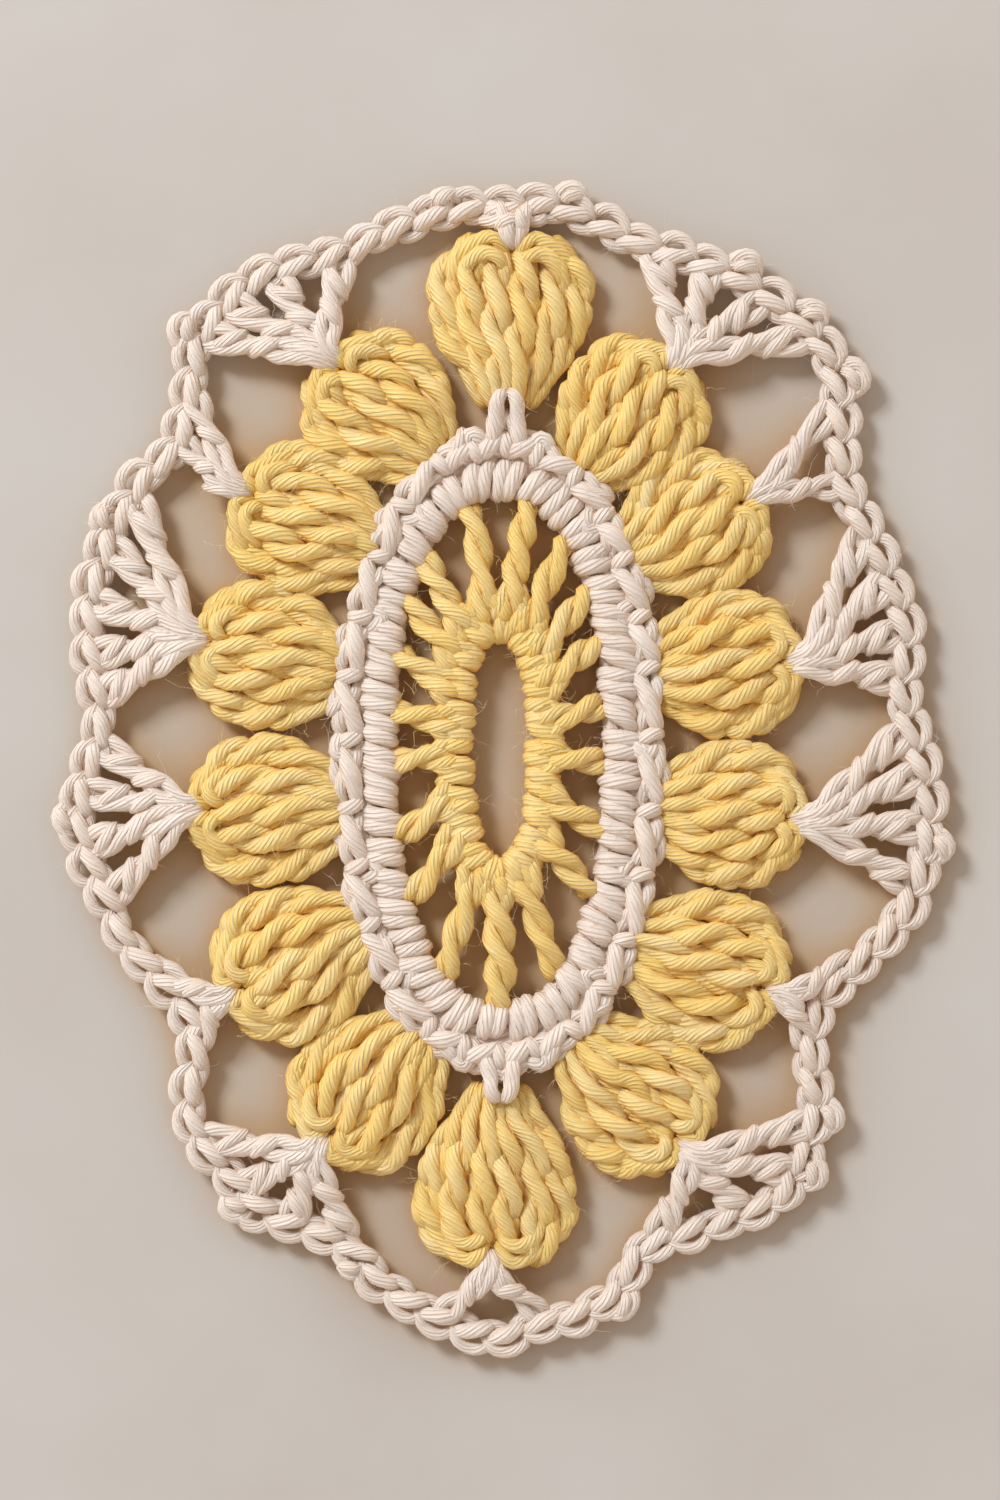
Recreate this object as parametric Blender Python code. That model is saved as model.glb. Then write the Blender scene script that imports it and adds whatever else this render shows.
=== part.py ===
"""Oval crocheted lace doily, lying flat.

A yellow oval ring with 19 spokes, a cream round of close stitches, 14 plump
yellow petals, and a cream scalloped border whose fans reach in to the petals.
Units are metres, +Z up; the underside lies on z = 0 and the origin is the
middle of the doily's footprint.  Tables are in millimetres.
"""
import bpy
import bmesh
import math
import numpy as np

for ob in list(bpy.data.objects):
    bpy.data.objects.remove(ob, do_unlink=True)

# ---------------------------------------------------------------- dimensions
MM = 0.001
GAP = 0.34            # clearance kept between neighbouring rounds
BORDER_WIDE = 3.3     # width of the double chain that runs round the edge
BORDER_HIGH = 3.2     # thickness of the border and its fans
PICOT_OUT = 1.5       # how far a picot stands past the chain
PICOT_LONG = 1.5      # half length of a picot along the chain
POST_WIDE = 2.1       # width of one worked post in a fan
JOIN_WIDE = 1.7       # width of one leg of a plain join
TIP_WIDE = 2.1        # width of a fan where its posts gather at the petal
INNER_HIGH = 3.6      # thickness of the cream round
RING_HIGH = 3.8       # thickness of the yellow ring and its spokes
SPOKE_WIDE = 2.3      # width of a spoke
PETAL_HIGH = 4.9      # crown of a petal
EDGE = 0.32           # rounding of the plate edges, top and bottom
OVAL_POWER = 2.3      # all the ovals are slightly squarer than an ellipse

# Ovals: centre and half sizes.
#            name          x     y     half_x  half_y
OVALS = {
    "eye":            (0.0,  1.3,   2.83,  10.75),
    "ring":           (-0.2, 1.4,   6.3,   15.0),
    "inner_edge":     (0.0,  1.0,   10.4,  25.6),
}

# Spokes, clockwise from the top: end point on the cream round, width factor.
SPOKES = [
    # x      y      wide
    (-3.3,  25.4,  1.0), (3.0,  26.0,  1.0),
    (5.9,   20.6,  1.0), (7.7,  16.0,  1.0), (8.9,  11.4,  1.0), (9.8,  5.6,  1.0),
    (10.0,   0.2,  1.0), (9.2,  -6.3,  1.0), (8.2, -12.3,  1.0),
    (5.0,  -19.4,  1.0), (-0.3, -24.4, 1.25), (-5.0, -19.9, 1.0),
    (-8.2, -12.8,  1.0), (-9.6, -7.0,  1.0), (-10.3, 0.0,  1.0), (-10.3, 5.2,  1.0),
    (-9.6,  10.7,  1.0), (-8.5, 15.6,  1.0), (-7.1, 20.2,  1.0),
]

# Petals, clockwise from the top: middle, length, width, direction of the tip.
PETALS = [
    # name                   x      y      long   wide   angle   egg
    ("petal_top",            1.0,   44.3,  17.4,  16.0,   88.0,  0.30),
    ("petal_upper_right",    13.0,  35.5,  15.2,  14.0,   49.0,  0.16),
    ("petal_right_1",        19.9,  23.7,  15.4,  13.7,   26.0,  0.12),
    ("petal_right_2",        23.1,   9.9,  15.2,  13.9,    4.0,  0.08),
    ("petal_right_3",        23.5,  -5.3,  15.4,  14.0,   -5.0,  0.08),
    ("petal_lower_right_1",  21.1, -20.8,  16.0,  14.6,  -20.0,  0.16),
    ("petal_lower_right_2",  13.8, -34.0,  15.6,  13.8,  -46.0,  0.18),
    ("petal_bottom",         -0.4, -41.9,  18.4,  15.2,  -93.0,  0.30),
    ("petal_lower_left_2",  -13.7, -33.8,  15.6,  13.9, -133.0,  0.18),
    ("petal_lower_left_1",  -21.1, -20.5,  16.0,  14.4, -155.0,  0.16),
    ("petal_left_3",        -23.8,  -4.9,  15.8,  14.3,  180.0,  0.08),
    ("petal_left_2",        -23.8,  10.6,  15.2,  14.0,  166.0,  0.10),
    ("petal_left_1",        -19.7,  24.5,  15.8,  14.0,  154.0,  0.14),
    ("petal_upper_left",    -12.2,  35.9,  15.2,  14.2,  136.0,  0.16),
]

# Border, clockwise from the top, a row for each fan or plain join.  first, mid
# and last are on the chain's centre line where its posts meet it, and sag is
# the middle of the free chain that follows.
BORDER = [
    # posts  first           mid             last            sag
    (2, (-1.6, 56.0),   (1.2, 55.8),    (4.2, 56.2),    (10.1, 54.8)),
    (4, (15.7, 52.0),   (24.2, 48.8),   (31.5, 43.1),   (33.9, 39.0)),
    (2, (34.2, 36.0),   (34.6, 32.0),   (34.9, 27.9),   (35.8, 25.8)),
    (4, (37.0, 23.4),   (40.6, 15.8),   (40.4, 8.2),    (40.7, 5.7)),
    (4, (41.4, 3.2),    (43.2, -3.9),   (41.9, -12.6),  (39.0, -17.6)),
    (2, (36.0, -20.4),  (32.3, -24.1),  (31.4, -28.6),  (31.7, -32.7)),
    (4, (31.8, -36.7),  (28.1, -44.3),  (16.0, -48.6),  (11.1, -54.2)),
    (2, (4.5, -56.6),   (-0.2, -58.2),  (-6.1, -56.4),  (-11.6, -53.4)),
    (4, (-15.7, -48.6), (-24.0, -45.5), (-30.5, -38.2), (-31.5, -33.0)),
    (2, (-31.0, -28.6), (-31.7, -24.9), (-34.8, -21.4), (-38.0, -17.9)),
    (4, (-39.6, -14.0), (-42.6, -5.7),  (-40.8, 1.9),   (-40.4, 4.2)),
    (5, (-40.7, 6.5),   (-41.5, 16.3),  (-37.2, 27.1),  (-34.2, 30.2)),
    (2, (-32.5, 32.6),  (-31.7, 34.8),  (-31.4, 37.2),  (-31.1, 40.0)),
    (4, (-30.2, 43.3),  (-25.6, 48.2),  (-16.2, 51.0),  (-8.6, 55.0)),
]

# Picots that stand out of the chain.
PICOTS = [
    # x      y
    (-5.4,  56.0), (7.4, 56.6), (24.7, 49.5), (31.3, 44.5), (34.0, 38.5),
    (43.6, -8.4), (30.5, -41.5), (12.0, -54.6), (-15.2, -51.0), (-26.5, -45.0),
    (-43.0, -5.4), (-39.6, 24.4), (-30.6, 43.0),
]

YELLOW = (0.86, 0.66, 0.27, 1.0)
CREAM = (0.86, 0.79, 0.70, 1.0)


# ------------------------------------------------------------------- helpers
def closed_curve(points, per_span):
    """A closed Catmull-Rom curve through the points."""
    p = np.asarray(points, float)
    out = []
    n = len(p)
    for i in range(n):
        a, b, c, d = p[i - 1], p[i], p[(i + 1) % n], p[(i + 2) % n]
        for k in range(per_span):
            t = k / per_span
            out.append(0.5 * (2 * b + (c - a) * t + (2 * a - 5 * b + 4 * c - d) * t * t
                              + (3 * b - a - 3 * c + d) * t ** 3))
    return np.array(out)


def oval(name, count, grow=0.0):
    x, y, hx, hy = OVALS[name]
    out = []
    for i in range(count):
        a = 2 * math.pi * i / count
        c, s = math.cos(a), math.sin(a)
        r = (abs(c) ** OVAL_POWER + abs(s) ** OVAL_POWER) ** (-1 / OVAL_POWER)
        out.append((x + (hx + grow) * r * c, y + (hy + grow) * r * s))
    return np.array(out)


def area(loop):
    x, y = loop[:, 0], loop[:, 1]
    return 0.5 * np.sum(x * np.roll(y, -1) - np.roll(x, -1) * y)


def turned(loop, anticlockwise):
    return loop if (area(loop) > 0) == anticlockwise else loop[::-1]


def inset(loop, amount):
    """Move a loop to its own left, mitred and limited at sharp corners."""
    a = loop - np.roll(loop, 1, axis=0)
    b = np.roll(loop, -1, axis=0) - loop
    a /= np.linalg.norm(a, axis=1)[:, None] + 1e-9
    b /= np.linalg.norm(b, axis=1)[:, None] + 1e-9
    na = np.stack([-a[:, 1], a[:, 0]], 1)
    nb = np.stack([-b[:, 1], b[:, 0]], 1)
    m = na + nb
    m /= np.linalg.norm(m, axis=1)[:, None] + 1e-9
    cosine = np.clip(np.sum(m * na, axis=1), 0.62, 1.0)
    return loop + m * (amount / cosine)[:, None]


def plate(name, outer, holes, high, colour):
    """A flat solid with rounded edges from one outline and its holes."""
    loops = [turned(np.asarray(outer, float), True)]
    loops += [turned(np.asarray(h, float), False) for h in holes]
    bm = bmesh.new()
    low, top = [], []
    for loop in loops:
        rings = []
        for z, amount in ((0.0, EDGE * 0.8), (EDGE * 1.6, 0.0),
                          (high - EDGE * 2.2, 0.0), (high, EDGE)):
            moved = inset(loop, amount)
            rings.append([bm.verts.new((x * MM, y * MM, z * MM)) for x, y in moved])
        n = len(loop)
        for lo, hi in zip(rings[:-1], rings[1:]):
            for i in range(n):
                j = (i + 1) % n
                bm.faces.new((lo[i], lo[j], hi[j], hi[i]))
        for ring, keep in ((rings[0], low), (rings[-1], top)):
            for i in range(n):
                keep.append(bm.edges.get((ring[i], ring[(i + 1) % n])))
    for edges in (low, top):
        bmesh.ops.triangle_fill(bm, use_beauty=True, use_dissolve=False, edges=edges)
    return finish(name, bm, colour)


def finish(name, bm, colour):
    bmesh.ops.recalc_face_normals(bm, faces=bm.faces)
    mesh = bpy.data.meshes.new(name)
    bm.to_mesh(mesh)
    bm.free()
    mesh.shade_smooth()
    mesh.set_sharp_from_angle(angle=math.radians(50))
    ob = bpy.data.objects.new(name, mesh)
    bpy.context.scene.collection.objects.link(ob)
    mat = bpy.data.materials.new(name + "_yarn")
    mat.use_nodes = True
    shader = mat.node_tree.nodes["Principled BSDF"]
    shader.inputs["Base Color"].default_value = colour
    shader.inputs["Roughness"].default_value = 0.72
    shader.inputs["Metallic"].default_value = 0.0
    mesh.materials.append(mat)
    return ob


def petal_outline(row, count, scale=1.0):
    name, x, y, long, wide, angle, egg = row
    a = math.radians(angle)
    u = np.array([math.cos(a), math.sin(a)])
    v = np.array([-u[1], u[0]])
    out = []
    for i in range(count):
        t = 2 * math.pi * i / count
        c, s = math.cos(t), math.sin(t)
        r = (abs(c) ** 2.2 + abs(s) ** 2.2) ** (-1 / 2.2)
        along = 0.5 * long * r * c
        across = 0.5 * wide * r * s * (1 + egg * c) / (1 + 0.3 * egg)
        out.append(np.array([x, y]) + scale * (u * along + v * across))
    return np.array(out)


def petal_end(row, sign, beyond=0.0):
    """The point of a petal's tip (+1) or base (-1), moved outwards."""
    name, x, y, long, wide, angle, egg = row
    a = math.radians(angle)
    u = np.array([math.cos(a), math.sin(a)])
    return np.array([x, y]) + sign * u * (0.5 * long + beyond)


# -------------------------------------------------------------------- petals
for row in PETALS:
    bm = bmesh.new()
    levels = ((0.0, 0.93), (1.3, 1.0), (2.9, 0.96), (4.1, 0.80), (4.7, 0.48))
    rings = []
    for z, scale in levels:
        rings.append([bm.verts.new((px * MM, py * MM, z / 4.9 * PETAL_HIGH * MM))
                      for px, py in petal_outline(row, 24, scale)])
    for lo, hi in zip(rings[:-1], rings[1:]):
        for i in range(24):
            j = (i + 1) % 24
            bm.faces.new((lo[i], lo[j], hi[j], hi[i]))
    bm.faces.new(rings[0][::-1])
    crown = bm.verts.new((row[1] * MM, row[2] * MM, PETAL_HIGH * MM))
    for i in range(24):
        bm.faces.new((rings[-1][i], rings[-1][(i + 1) % 24], crown))
    finish(row[0], bm, YELLOW)


# --------------------------------------------------------------- inner round
# Its outer edge rises to each petal's base and dips a little between them.
peaks = [petal_end(row, -1, GAP) for row in PETALS]
rim = []
for i, peak in enumerate(peaks):
    nxt = peaks[(i + 1) % len(peaks)]
    middle = (peak + nxt) / 2
    towards = np.array([0.0, max(-12.0, min(14.0, middle[1]))]) - middle
    rim += [peak, middle + towards / np.linalg.norm(towards) * 0.25]
plate("inner_round", closed_curve(rim, 3), [oval("inner_edge", 56)],
      INNER_HIGH, CREAM)


# -------------------------------------------------------------------- centre
def edge_crossing(start, end, name, grow):
    """The point of the way from start to end that lies on an oval."""
    x, y, hx, hy = OVALS[name]
    lo, hi = 0.0, 2.0
    for _ in range(40):
        mid = (lo + hi) / 2
        p = start + (end - start) * mid
        inside = (abs(p[0] - x) / (hx + grow)) ** OVAL_POWER \
            + (abs(p[1] - y) / (hy + grow)) ** OVAL_POWER < 1
        lo, hi = (mid, hi) if inside else (lo, mid)
    return start + (end - start) * lo


star = []
for x, y, wide in SPOKES:
    end = np.array([x, y])
    # a spoke leaves the ring nearly square to it
    root = np.array([OVALS["ring"][0] + 0.30 * x, 1.4 + 0.50 * (y - 1.4)])
    way = (end - root) / np.linalg.norm(end - root)
    side = np.array([way[1], -way[0]])
    half = 0.5 * SPOKE_WIDE * wide
    for lateral, where, grow in ((-1.25, "ring", 0.0), (-1.0, "ring", 1.2),
                                 (-0.95, "inner_edge", -GAP), (0.95, "inner_edge", -GAP),
                                 (1.0, "ring", 1.2), (1.25, "ring", 0.0)):
        shift = side * half * lateral
        star.append(edge_crossing(root + shift, end + shift, where, grow))
plate("centre", np.array(star), [oval("eye", 30)], RING_HIGH, YELLOW)


# -------------------------------------------------------------------- border
line_points = []
for posts, first, mid, last, sag in BORDER:
    line_points += [first, mid, last, sag]
PER = 3               # points in each quarter of a row
line = closed_curve(line_points, PER)
count = len(line)
ahead = np.roll(line, -1, axis=0) - np.roll(line, 1, axis=0)
ahead /= np.linalg.norm(ahead, axis=1)[:, None]
outward = np.stack([-ahead[:, 1], ahead[:, 0]], 1)     # the line runs clockwise
bump = np.zeros(count)
for px, py in PICOTS:
    d = np.linalg.norm(line - (px, py), axis=1)
    near = int(np.argmin(d))
    reach = np.linalg.norm(line - line[near], axis=1)
    bump = np.maximum(bump, PICOT_OUT * np.exp(-(reach / PICOT_LONG) ** 2))
outer = line + outward * (0.5 * BORDER_WIDE + bump)[:, None]

inner, holes = [], []
for k, (posts, first, mid, last, sag) in enumerate(BORDER):
    tip = petal_end(PETALS[k], 1, GAP)
    axis = math.radians(PETALS[k][5])
    side = np.array([math.sin(axis), -math.cos(axis)])    # to the clockwise side
    half = 0.5 * (POST_WIDE if posts > 2 else JOIN_WIDE)
    i0, i1 = 4 * k * PER, (4 * k + 2) * PER               # first and last post
    ends = [line[i0 + round((i1 - i0) * j / (posts - 1))]
            - outward[i0 + round((i1 - i0) * j / (posts - 1))] * 0.5 * BORDER_WIDE
            for j in range(posts)]

    def flank(end, sign):
        way = (end - tip) / np.linalg.norm(end - tip)
        return end + np.array([way[1], -way[0]]) * half * sign

    # anticlockwise flank, tip, clockwise flank, then the free chain
    inner.append(flank(ends[0], -1))
    inner.append(tip - side * TIP_WIDE * 0.5)
    inner.append(tip + side * TIP_WIDE * 0.5)
    inner.append(flank(ends[-1], 1))
    nxt = (4 * k + 4) * PER
    for i in range(i1 + 1, nxt):
        spot = line[i % count] - outward[i % count] * 0.5 * BORDER_WIDE
        far = min(np.linalg.norm(spot - ends[-1]),
                  np.linalg.norm(spot - (line[nxt % count] - outward[nxt % count] * 0.5 * BORDER_WIDE)))
        if far > half + 0.5:
            inner.append(spot)

    for a, b in zip(ends[:-1], ends[1:]):
        across = np.linalg.norm(b - a)
        open_ = across - 2 * half
        if open_ < 0.7:
            continue
        ea = a + (b - a) * half / across
        eb = b + (a - b) * half / across
        middle = (a + b) / 2
        root = tip + (middle - tip) * min(0.72, max(0.45, 2.4 * half / across))
        ea = root + (ea - root) * 0.96
        eb = root + (eb - root) * 0.96
        holes.append(np.array([root, (root + ea) / 2, ea, (ea + eb) / 2, eb, (root + eb) / 2]))
plate("border", outer, [np.array(inner)] + holes, BORDER_HIGH, CREAM)


# -------------------------------------- origin at the middle of the footprint
low = np.full(3, 1e9)
high = -low
for ob in bpy.data.objects:
    co = np.array([v.co[:] for v in ob.data.vertices])
    low, high = np.minimum(low, co.min(0)), np.maximum(high, co.max(0))
shift = np.array([-(low[0] + high[0]) / 2, -(low[1] + high[1]) / 2, -low[2]])
for ob in bpy.data.objects:
    for v in ob.data.vertices:
        v.co = v.co + type(v.co)(shift)
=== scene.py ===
import math
import bpy
import numpy as np
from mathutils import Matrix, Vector


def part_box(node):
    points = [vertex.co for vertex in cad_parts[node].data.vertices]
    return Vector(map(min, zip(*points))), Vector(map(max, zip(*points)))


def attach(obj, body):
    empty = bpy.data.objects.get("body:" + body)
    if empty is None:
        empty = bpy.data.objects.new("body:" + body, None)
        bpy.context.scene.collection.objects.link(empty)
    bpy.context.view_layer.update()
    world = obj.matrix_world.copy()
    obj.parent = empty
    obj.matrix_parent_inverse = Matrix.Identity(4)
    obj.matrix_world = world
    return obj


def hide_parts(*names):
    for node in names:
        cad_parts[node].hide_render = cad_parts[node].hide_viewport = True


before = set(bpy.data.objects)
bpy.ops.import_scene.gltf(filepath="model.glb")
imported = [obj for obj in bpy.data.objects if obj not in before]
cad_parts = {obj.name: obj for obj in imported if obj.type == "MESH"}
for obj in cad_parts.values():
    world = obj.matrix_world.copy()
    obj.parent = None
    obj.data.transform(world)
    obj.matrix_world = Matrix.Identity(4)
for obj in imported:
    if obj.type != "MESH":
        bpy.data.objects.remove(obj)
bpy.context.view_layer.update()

rng = np.random.default_rng(11)

# ------------------------------------------------------------------- tables
BORDER_LOW = (-45.742, -59.850)     # the border's low corner in the tables' frame
_low, _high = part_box("border")
SHIFT = np.array([_low[0] * 1000 - BORDER_LOW[0], _low[1] * 1000 - BORDER_LOW[1]])
OVAL_POWER = 2.3

#            name          x     y     half_x  half_y
OVALS = {
    "eye":            (0.0,  1.3,   2.83,  10.75),
    "ring":           (-0.2, 1.4,   6.3,   15.0),
    "inner_edge":     (0.0,  1.0,   10.4,  25.6),
}

# Spokes, clockwise from the top: end point on the cream round, width factor.
SPOKES = [
    # x      y      wide
    (-3.3,  25.4,  1.0), (3.0,  26.0,  1.0),
    (5.9,   20.6,  1.0), (7.7,  16.0,  1.0), (8.9,  11.4,  1.0), (9.8,  5.6,  1.0),
    (10.0,   0.2,  1.0), (9.2,  -6.3,  1.0), (8.2, -12.3,  1.0),
    (5.0,  -19.4,  1.0), (-0.3, -24.4, 1.25), (-5.0, -19.9, 1.0),
    (-8.2, -12.8,  1.0), (-9.6, -7.0,  1.0), (-10.3, 0.0,  1.0), (-10.3, 5.2,  1.0),
    (-9.6,  10.7,  1.0), (-8.5, 15.6,  1.0), (-7.1, 20.2,  1.0),
]

# Petals, clockwise from the top: middle, length, width, direction of the tip,
# how many posts, and the outline: "drop" is narrow at the base.
PETALS = [
    # name                   x      y      long   wide   angle  posts outline
    ("petal_top",            1.0,   44.6,  18.4,  16.5,   88.0,  6, "drop"),
    ("petal_upper_right",    13.1,  35.1,  15.9,  14.9,   49.0,  5, "egg"),
    ("petal_right_1",        19.5,  23.8,  15.9,  14.5,   26.0,  5, "egg"),
    ("petal_right_2",        23.0,   9.8,  15.7,  14.7,    4.0,  5, "round"),
    ("petal_right_3",        23.3,  -5.3,  16.0,  14.7,   -5.0,  5, "round"),
    ("petal_lower_right_1",  20.8, -20.8,  17.0,  15.8,  -20.0,  5, "egg"),
    ("petal_lower_right_2",  13.6, -33.6,  17.0,  15.5,  -46.0,  5, "egg"),
    ("petal_bottom",         -0.4, -41.8,  19.2,  16.2,  -93.0,  6, "drop"),
    ("petal_lower_left_2",  -13.2, -33.3,  16.8,  15.4, -133.0,  5, "egg"),
    ("petal_lower_left_1",  -20.7, -20.3,  17.0,  15.6, -155.0,  5, "egg"),
    ("petal_left_3",        -23.5,  -4.9,  16.6,  15.1,  180.0,  5, "round"),
    ("petal_left_2",        -23.6,  10.7,  16.0,  14.7,  166.0,  5, "round"),
    ("petal_left_1",        -19.5,  24.3,  16.5,  14.9,  154.0,  5, "egg"),
    ("petal_upper_left",    -12.1,  35.7,  15.9,  15.0,  136.0,  5, "egg"),
]

# Outlines: share of the length from the base, share of the half width.
OUTLINES = {
    "drop":  [(0.0, 0.30), (0.12, 0.50), (0.23, 0.68), (0.34, 0.82), (0.45, 0.92),
              (0.61, 0.99), (0.72, 1.0), (0.82, 0.94), (0.92, 0.78), (1.0, 0.50)],
    "egg":   [(0.0, 0.34), (0.10, 0.58), (0.22, 0.78), (0.38, 0.95), (0.55, 1.0),
              (0.70, 0.98), (0.84, 0.83), (0.94, 0.58), (1.0, 0.34)],
    "round": [(0.0, 0.38), (0.10, 0.64), (0.22, 0.84), (0.38, 0.97), (0.55, 1.0),
              (0.70, 0.96), (0.84, 0.80), (0.94, 0.56), (1.0, 0.34)],
}

# Border, clockwise from the top, a row for each fan or plain join.  first, mid
# and last are on the chain's centre line where its posts meet it, and sag is
# the middle of the free chain that follows.
BORDER = [
    # posts  first           mid             last            sag
    (2, (-1.6, 56.0),   (1.2, 55.8),    (4.2, 56.2),    (10.1, 54.8)),
    (4, (15.7, 52.0),   (24.2, 48.8),   (31.5, 43.1),   (33.9, 39.0)),
    (2, (34.2, 36.0),   (34.6, 32.0),   (34.9, 27.9),   (35.8, 25.8)),
    (4, (37.0, 23.4),   (40.6, 15.8),   (40.4, 8.2),    (40.7, 5.7)),
    (4, (41.4, 3.2),    (43.2, -3.9),   (41.9, -12.6),  (39.0, -17.6)),
    (2, (36.0, -20.4),  (32.3, -24.1),  (31.4, -28.6),  (31.7, -32.7)),
    (4, (31.8, -36.7),  (28.1, -44.3),  (16.0, -48.6),  (11.1, -54.2)),
    (2, (4.5, -56.6),   (-0.2, -58.2),  (-6.1, -56.4),  (-11.6, -53.4)),
    (4, (-15.7, -48.6), (-24.0, -45.5), (-30.5, -38.2), (-31.5, -33.0)),
    (2, (-31.0, -28.6), (-31.7, -24.9), (-34.8, -21.4), (-38.0, -17.9)),
    (4, (-39.6, -14.0), (-42.6, -5.7),  (-40.8, 1.9),   (-40.4, 4.2)),
    (5, (-40.7, 6.5),   (-41.5, 16.3),  (-37.2, 27.1),  (-34.2, 30.2)),
    (2, (-32.5, 32.6),  (-31.7, 34.8),  (-31.4, 37.2),  (-31.1, 40.0)),
    (4, (-30.2, 43.3),  (-25.6, 48.2),  (-16.2, 51.0),  (-8.6, 55.0)),
]

# Picots that stand out of the chain.
PICOTS = [
    # x      y
    (-5.4,  56.0), (7.4, 56.6), (24.7, 49.5), (31.3, 44.5), (34.0, 38.5),
    (43.6, -8.4), (33.2, -36.0), (30.5, -41.5), (12.0, -54.6), (-15.2, -51.0),
    (-26.5, -45.0), (-43.0, -5.4), (-39.6, 24.4), (-30.6, 43.0),
]

R = 0.86                            # radius of the yellow yarn
RC = 0.71                           # radius of the cream yarn in loose stitches
STEP = 0.48                         # ring spacing along a strand
PLIES = 5
THREADS = 11                        # fine threads seen round a strand
PLY_DEPTH = 0.075


# ------------------------------------------------------------------- curves
def unit(v):
    return v / (np.linalg.norm(v, axis=-1, keepdims=True) + 1e-12)


def tangents(q):
    return unit(np.gradient(q, axis=0))


def arc(q):
    return np.concatenate([[0], np.cumsum(np.linalg.norm(np.diff(q, axis=0), axis=1))])


def evenly(q, step):
    s = arc(q)
    n = max(4, int(round(s[-1] / step)) + 1)
    want = np.linspace(0, s[-1], n)
    return np.stack([np.interp(want, s, q[:, k]) for k in range(q.shape[1])], 1)


def smooth(points, step=STEP, closed=False):
    """Centripetal Catmull-Rom through the points, resampled evenly."""
    p = np.asarray(points, float)
    if closed:
        p = np.vstack([p[-1], p, p[0], p[1]])
    else:
        p = np.vstack([2 * p[0] - p[1], p, 2 * p[-1] - p[-2]])
    out = []
    for i in range(1, len(p) - 2):
        a, b, c, d = p[i - 1], p[i], p[i + 1], p[i + 2]
        t1 = max(np.linalg.norm(b - a), 1e-4) ** 0.5
        t2 = t1 + max(np.linalg.norm(c - b), 1e-4) ** 0.5
        t3 = t2 + max(np.linalg.norm(d - c), 1e-4) ** 0.5
        m = max(4, int(np.linalg.norm(c - b) / (step * 0.5)) + 1)
        t = (t1 + (t2 - t1) * np.arange(m) / m)[:, None]
        a1 = (t1 - t) / t1 * a + t / t1 * b
        a2 = (t2 - t) / (t2 - t1) * b + (t - t1) / (t2 - t1) * c
        a3 = (t3 - t) / (t3 - t2) * c + (t - t2) / (t3 - t2) * d
        b1 = (t2 - t) / t2 * a1 + t / t2 * a2
        b2 = (t3 - t) / (t3 - t1) * a2 + (t - t1) / (t3 - t1) * a3
        out.append((t2 - t) / (t2 - t1) * b1 + (t - t1) / (t2 - t1) * b2)
    return evenly(np.vstack(out + [p[-2][None]]), step)


def closed_curve(points, per_span):
    """The part's own closed curve through the points."""
    p = np.asarray(points, float)
    out = []
    n = len(p)
    for i in range(n):
        a, b, c, d = p[i - 1], p[i], p[(i + 1) % n], p[(i + 2) % n]
        for k in range(per_span):
            t = k / per_span
            out.append(0.5 * (2 * b + (c - a) * t + (2 * a - 5 * b + 4 * c - d) * t * t
                              + (3 * b - a - 3 * c + d) * t ** 3))
    return np.array(out)


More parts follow.
